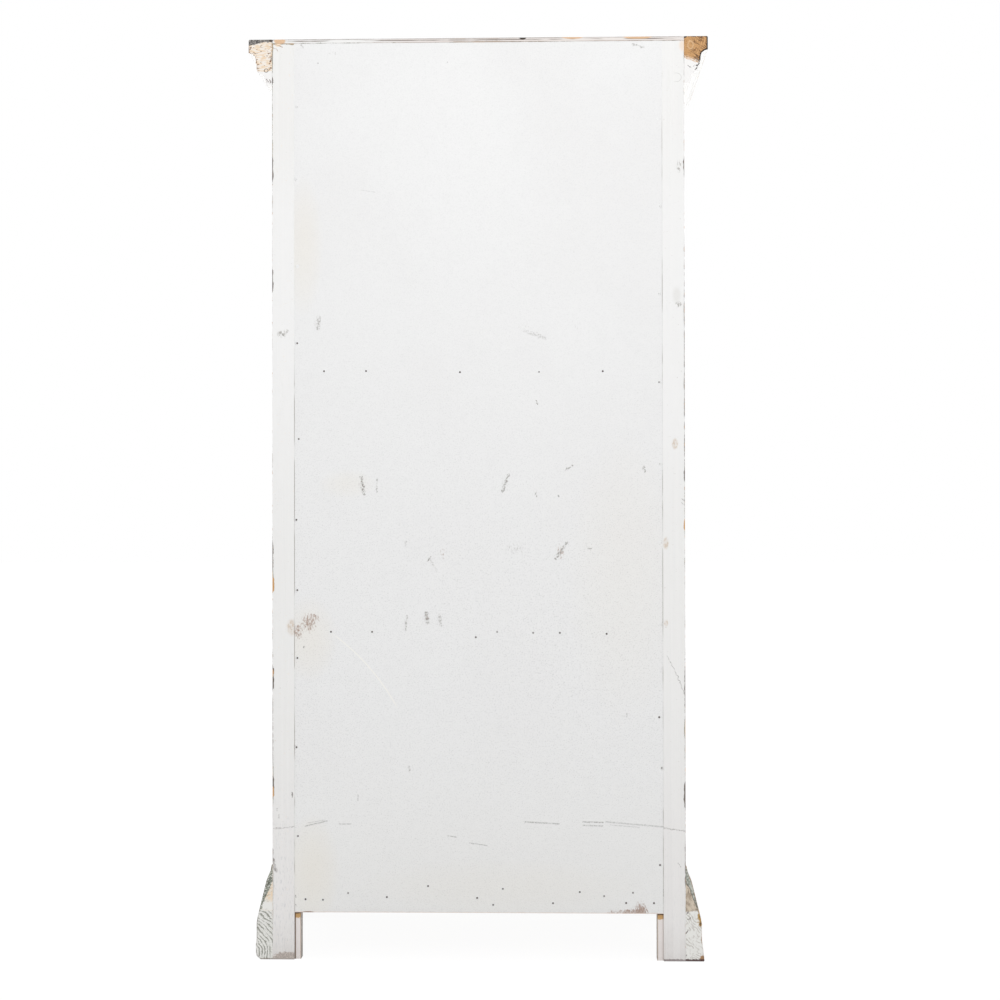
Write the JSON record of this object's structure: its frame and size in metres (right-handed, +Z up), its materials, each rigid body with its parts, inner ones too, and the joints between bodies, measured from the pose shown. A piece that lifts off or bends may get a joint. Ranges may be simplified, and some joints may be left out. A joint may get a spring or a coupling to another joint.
{
  "type": "armoire",
  "caption": "Painted pine armoire with a moulded cornice, flared plinth skirt, shelves and panelled swing doors with a rim lock and surface bolts.",
  "frame": {"origin": "on the floor, under the centre of the bounding box", "axes": "+Z up, doors face -Y, the nailed back faces +Y, +X is the right-hand door's side seen from the front"},
  "size_m": [0.948, 0.529, 1.9],
  "materials": {
    "painted_pine": "worn chalky off-white paint over grey-green paint over pine",
    "raw_pine": "bare pine, waxed dry",
    "iron": "dark aged iron",
    "brass": "dull aged brass"
  },
  "bodies": {
    "carcass": {"rear_post_left": "painted_pine", "rear_post_right": "painted_pine", "front_post_left": "painted_pine", "front_post_right": "painted_pine", "side_rail_top_left": "painted_pine", "side_rail_top_right": "painted_pine", "side_rail_bottom_left": "painted_pine", "side_rail_bottom_right": "painted_pine", "side_panel_left": "painted_pine", "side_panel_right": "painted_pine", "back_panel": "painted_pine", "back_nails": "iron", "back_rail_top": "raw_pine", "back_rail_bottom": "raw_pine", "top_board": "painted_pine", "cornice_front": "painted_pine", "cornice_left": "painted_pine", "cornice_right": "painted_pine", "head_rail": "painted_pine", "sill_rail": "painted_pine", "skirt_front": "painted_pine", "skirt_left": "painted_pine", "skirt_right": "painted_pine", "corner_blocks": "raw_pine", "bottom_board": "raw_pine", "shelf_lower": "raw_pine", "shelf_upper": "raw_pine", "shelf_cleats": "raw_pine", "frame_pegs": "raw_pine", "hinge_frame_leaves": "iron", "hinge_pins": "iron", "bolt_keepers": "iron"},
    "left_door": {"left_door_hinge_stile": "painted_pine", "left_door_meeting_stile": "painted_pine", "left_door_top_rail": "painted_pine", "left_door_middle_rail": "painted_pine", "left_door_bottom_rail": "painted_pine", "left_door_upper_panel": "painted_pine", "left_door_lower_panel": "painted_pine", "left_door_hinge_leaves": "iron", "left_door_knob": "brass", "left_door_escutcheon": "brass", "left_door_lock_keeper": "iron", "left_door_bolt_plates": "iron"},
    "right_door": {"right_door_hinge_stile": "painted_pine", "right_door_meeting_stile": "painted_pine", "right_door_top_rail": "painted_pine", "right_door_middle_rail": "painted_pine", "right_door_bottom_rail": "painted_pine", "right_door_upper_panel": "painted_pine", "right_door_lower_panel": "painted_pine", "right_door_hinge_leaves": "iron", "right_door_knob": "brass", "right_door_escutcheon": "brass", "right_door_astragal": "painted_pine", "lock_case": "iron"},
    "top_bolt": {"top_bolt": "iron"},
    "bottom_bolt": {"bottom_bolt": "iron"},
    "lock_bolt": {"lock_bolt": "iron"},
    "key": {"key": "iron"}
  },
  "joints": [
    {"name": "left_door_swing", "type": "hinge", "parent": "carcass", "child": "left_door", "pos_m": [-0.36575, -0.221, 0.985], "axis": [0, 0, -1], "range_deg": [0, 170]},
    {"name": "right_door_swing", "type": "hinge", "parent": "carcass", "child": "right_door", "pos_m": [0.36575, -0.221, 0.985], "axis": [0, 0, 1], "range_deg": [0, 170]},
    {"name": "top_bolt_slide", "type": "slide", "parent": "left_door", "child": "top_bolt", "axis": [0, 0, 1], "range_m": [0, 0.016]},
    {"name": "bottom_bolt_slide", "type": "slide", "parent": "left_door", "child": "bottom_bolt", "axis": [0, 0, -1], "range_m": [0, 0.016]},
    {"name": "key_turn", "type": "hinge", "parent": "right_door", "child": "key", "pos_m": [0.0375, -0.2155, 0.985], "axis": [0, -1, 0], "range_deg": [0, 180]},
    {"name": "lock_bolt_slide", "type": "slide", "parent": "right_door", "child": "lock_bolt", "axis": [-1, 0, 0], "range_m": [0, 0.01201]}
  ],
  "couplings": [
    {"joint": "lock_bolt_slide", "follows": "key_turn", "m_per_rad": 0.0038197}
  ]
}
